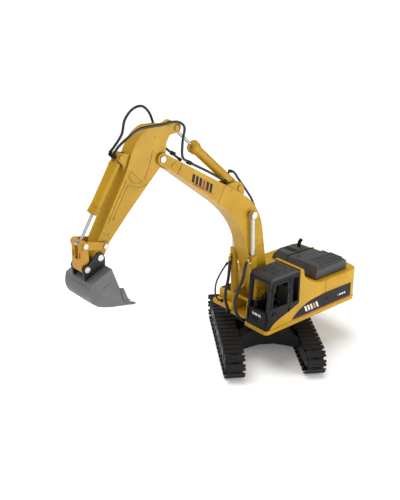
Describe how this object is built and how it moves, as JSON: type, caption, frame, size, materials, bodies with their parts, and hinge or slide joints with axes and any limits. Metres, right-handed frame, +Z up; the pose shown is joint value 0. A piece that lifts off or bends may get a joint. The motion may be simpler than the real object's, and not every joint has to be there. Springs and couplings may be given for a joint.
{
  "type": "rc excavator",
  "caption": "Radio-controlled tracked excavator with slewing upper body, two-piece hydraulic-style arm, linkage-driven bucket, black tracks and an open cab.",
  "frame": {"origin": "on the slew axis, at the underside of the belly plate", "axes": "+X forward travel direction of the tracks (idler end), +Y left, +Z up; at rest the upper body is slewed 55.83 degrees to the right"},
  "size_m": [0.4142, 0.5418, 0.511],
  "materials": {
    "yellow_plastic": "semi-gloss construction yellow",
    "link_yellow": "semi-gloss orange yellow",
    "charcoal_plastic": "satin charcoal",
    "black_plastic": "satin black",
    "track_rubber": "dull black",
    "hose_rubber": "satin black",
    "bucket_grey": "satin grey paint",
    "bright_steel": "polished",
    "board_green": "satin",
    "battery_wrap": "gloss film"
  },
  "bodies": {
    "undercarriage": {"chassis_frame": "black_plastic", "belly_plate": "black_plastic", "slew_ring": "bright_steel", "track_frame_left": "black_plastic", "track_frame_right": "black_plastic", "track_left": "track_rubber", "track_right": "track_rubber", "travel_motor_left": "black_plastic", "travel_motor_right": "black_plastic"},
    "sprocket_left": {"sprocket_left": "black_plastic"},
    "sprocket_right": {"sprocket_right": "black_plastic"},
    "idler_left": {"idler_left": "black_plastic"},
    "idler_right": {"idler_right": "black_plastic"},
    "upper": {"deck": "yellow_plastic", "slew_retainer": "bright_steel", "body_shell": "yellow_plastic", "counterweight": "yellow_plastic", "engine_hood": "charcoal_plastic", "exhaust_pipe": "black_plastic", "cab_frame": "charcoal_plastic", "operator_seat": "black_plastic", "tool_box": "yellow_plastic", "slew_motor": "bright_steel", "battery_pack": "battery_wrap", "circuit_board": "board_green", "boom_foot_pin": "bright_steel", "boom_cylinder_base_pin": "yellow_plastic", "front_hose_left": "hose_rubber", "front_hose_right": "hose_rubber", "tank_hose": "hose_rubber"},
    "slew_pinion": {"slew_pinion": "bright_steel"},
    "power_switch": {"power_switch": "black_plastic"},
    "boom": {"boom": "yellow_plastic", "boom_stick_pin": "bright_steel", "boom_cylinder_pin": "bright_steel", "stick_cylinder_pin": "yellow_plastic", "boom_hose": "hose_rubber"},
    "boom_cylinders": {"boom_cylinder_left": "yellow_plastic", "boom_cylinder_right": "yellow_plastic"},
    "boom_rods": {"boom_rod_left": "bright_steel", "boom_rod_right": "bright_steel"},
    "stick": {"stick": "yellow_plastic", "stick_rod_pin": "yellow_plastic", "bucket_cylinder_pin": "yellow_plastic", "idler_pin": "bright_steel", "bucket_pin": "bright_steel", "bucket_hose_left": "hose_rubber", "bucket_hose_right": "hose_rubber"},
    "stick_cylinder": {"stick_cylinder": "yellow_plastic"},
    "stick_rod": {"stick_rod": "bright_steel"},
    "bucket_cylinder": {"bucket_cylinder": "yellow_plastic"},
    "bucket_rod": {"bucket_rod": "bright_steel"},
    "idler_links": {"idler_link_left": "link_yellow", "idler_link_right": "link_yellow", "link_pin": "bright_steel"},
    "bucket_link": {"bucket_link": "link_yellow"},
    "bucket": {"bucket": "bucket_grey", "bucket_link_pin": "bright_steel"}
  },
  "joints": [
    {"name": "slew", "type": "hinge", "parent": "undercarriage", "child": "upper", "pos_m": [0, 0, 0.06], "axis": [0, 0, 1], "continuous": true},
    {"name": "slew_pinion_spin", "type": "hinge", "parent": "upper", "child": "slew_pinion", "pos_m": [-0.02339, 0.03446, 0.052], "axis": [0, 0, 1], "continuous": true},
    {"name": "boom_lift", "type": "hinge", "parent": "upper", "child": "boom", "pos_m": [0.0068, -0.01714, 0.104], "axis": [-0.8274, -0.5616, 0], "range_deg": [-40, 5], "deforming": ["boom_hose"]},
    {"name": "boom_cylinder_tilt", "type": "hinge", "parent": "upper", "child": "boom_cylinders", "pos_m": [0.02477, -0.04362, 0.099], "axis": [-0.8274, -0.5616, 0], "range_deg": [-42, 6], "deforming": ["front_hose_left", "front_hose_right", "tank_hose"]},
    {"name": "boom_rod_slide", "type": "slide", "parent": "boom_cylinders", "child": "boom_rods", "axis": [0.0192, -0.0283, 0.9994], "range_m": [-0.023, 0.004]},
    {"name": "stick_swing", "type": "hinge", "parent": "boom", "child": "stick", "pos_m": [0.13542, -0.20661, 0.412], "axis": [-0.8274, -0.5616, 0], "range_deg": [-35, 20], "deforming": ["bucket_hose_left", "bucket_hose_right"]},
    {"name": "stick_cylinder_tilt", "type": "hinge", "parent": "boom", "child": "stick_cylinder", "pos_m": [0.0405, -0.06678, 0.326], "axis": [-0.8274, -0.5616, 0], "range_deg": [-3, 2]},
    {"name": "stick_rod_slide", "type": "slide", "parent": "stick_cylinder", "child": "stick_rod", "axis": [0.4074, -0.6002, 0.6883], "range_m": [-0.019, 0.033]},
    {"name": "bucket_curl", "type": "hinge", "parent": "stick", "child": "bucket", "pos_m": [0.20619, -0.31086, 0.279], "axis": [-0.8274, -0.5616, 0], "range_deg": [-20, 55]},
    {"name": "idler_link_swing", "type": "hinge", "parent": "stick", "child": "idler_links", "pos_m": [0.19945, -0.30093, 0.295], "axis": [-0.8274, -0.5616, 0], "range_deg": [-16, 42]},
    {"name": "bucket_link_swing", "type": "hinge", "parent": "idler_links", "child": "bucket_link", "pos_m": [0.22023, -0.33154, 0.3045], "axis": [-0.8274, -0.5616, 0], "range_deg": [-16, 7]},
    {"name": "bucket_cylinder_tilt", "type": "hinge", "parent": "stick", "child": "bucket_cylinder", "pos_m": [0.17642, -0.26701, 0.427], "axis": [-0.8274, -0.5616, 0], "range_deg": [-1, 2]},
    {"name": "bucket_rod_slide", "type": "slide", "parent": "bucket_cylinder", "child": "bucket_rod", "axis": [0.3017, -0.4444, -0.8435], "range_m": [-0.028, 0.011]},
    {"name": "sprocket_left_spin", "type": "hinge", "parent": "undercarriage", "child": "sprocket_left", "pos_m": [-0.1145, 0.07375, 0.012], "axis": [0, 1, 0], "continuous": true},
    {"name": "idler_left_spin", "type": "hinge", "parent": "undercarriage", "child": "idler_left", "pos_m": [0.1145, 0.07375, 0.012], "axis": [0, 1, 0], "continuous": true},
    {"name": "sprocket_right_spin", "type": "hinge", "parent": "undercarriage", "child": "sprocket_right", "pos_m": [-0.1145, -0.07375, 0.012], "axis": [0, 1, 0], "continuous": true},
    {"name": "idler_right_spin", "type": "hinge", "parent": "undercarriage", "child": "idler_right", "pos_m": [0.1145, -0.07375, 0.012], "axis": [0, 1, 0], "continuous": true},
    {"name": "power_switch_slide", "type": "slide", "parent": "upper", "child": "power_switch", "axis": [0.5616, -0.8274, 0], "range_m": [0, 0.004]}
  ],
  "couplings": [
    {"joint": "slew_pinion_spin", "follows": "slew", "ratio": 4},
    {"joint": "boom_cylinder_tilt", "follows": "boom_lift", "ratio": 1.0338},
    {"joint": "boom_rod_slide", "follows": "boom_lift", "m_per_rad": 0.03124},
    {"joint": "stick_cylinder_tilt", "follows": "stick_swing", "ratio": 0.0676},
    {"joint": "stick_rod_slide", "follows": "stick_swing", "m_per_rad": -0.05132},
    {"joint": "idler_link_swing", "follows": "bucket_curl", "ratio": 0.738},
    {"joint": "bucket_link_swing", "follows": "bucket_curl", "ratio": -0.264},
    {"joint": "bucket_cylinder_tilt", "follows": "bucket_curl", "ratio": 0.0192},
    {"joint": "bucket_rod_slide", "follows": "bucket_curl", "m_per_rad": -0.02714},
    {"joint": "idler_left_spin", "follows": "sprocket_left_spin", "ratio": 1},
    {"joint": "idler_right_spin", "follows": "sprocket_right_spin", "ratio": 1}
  ]
}
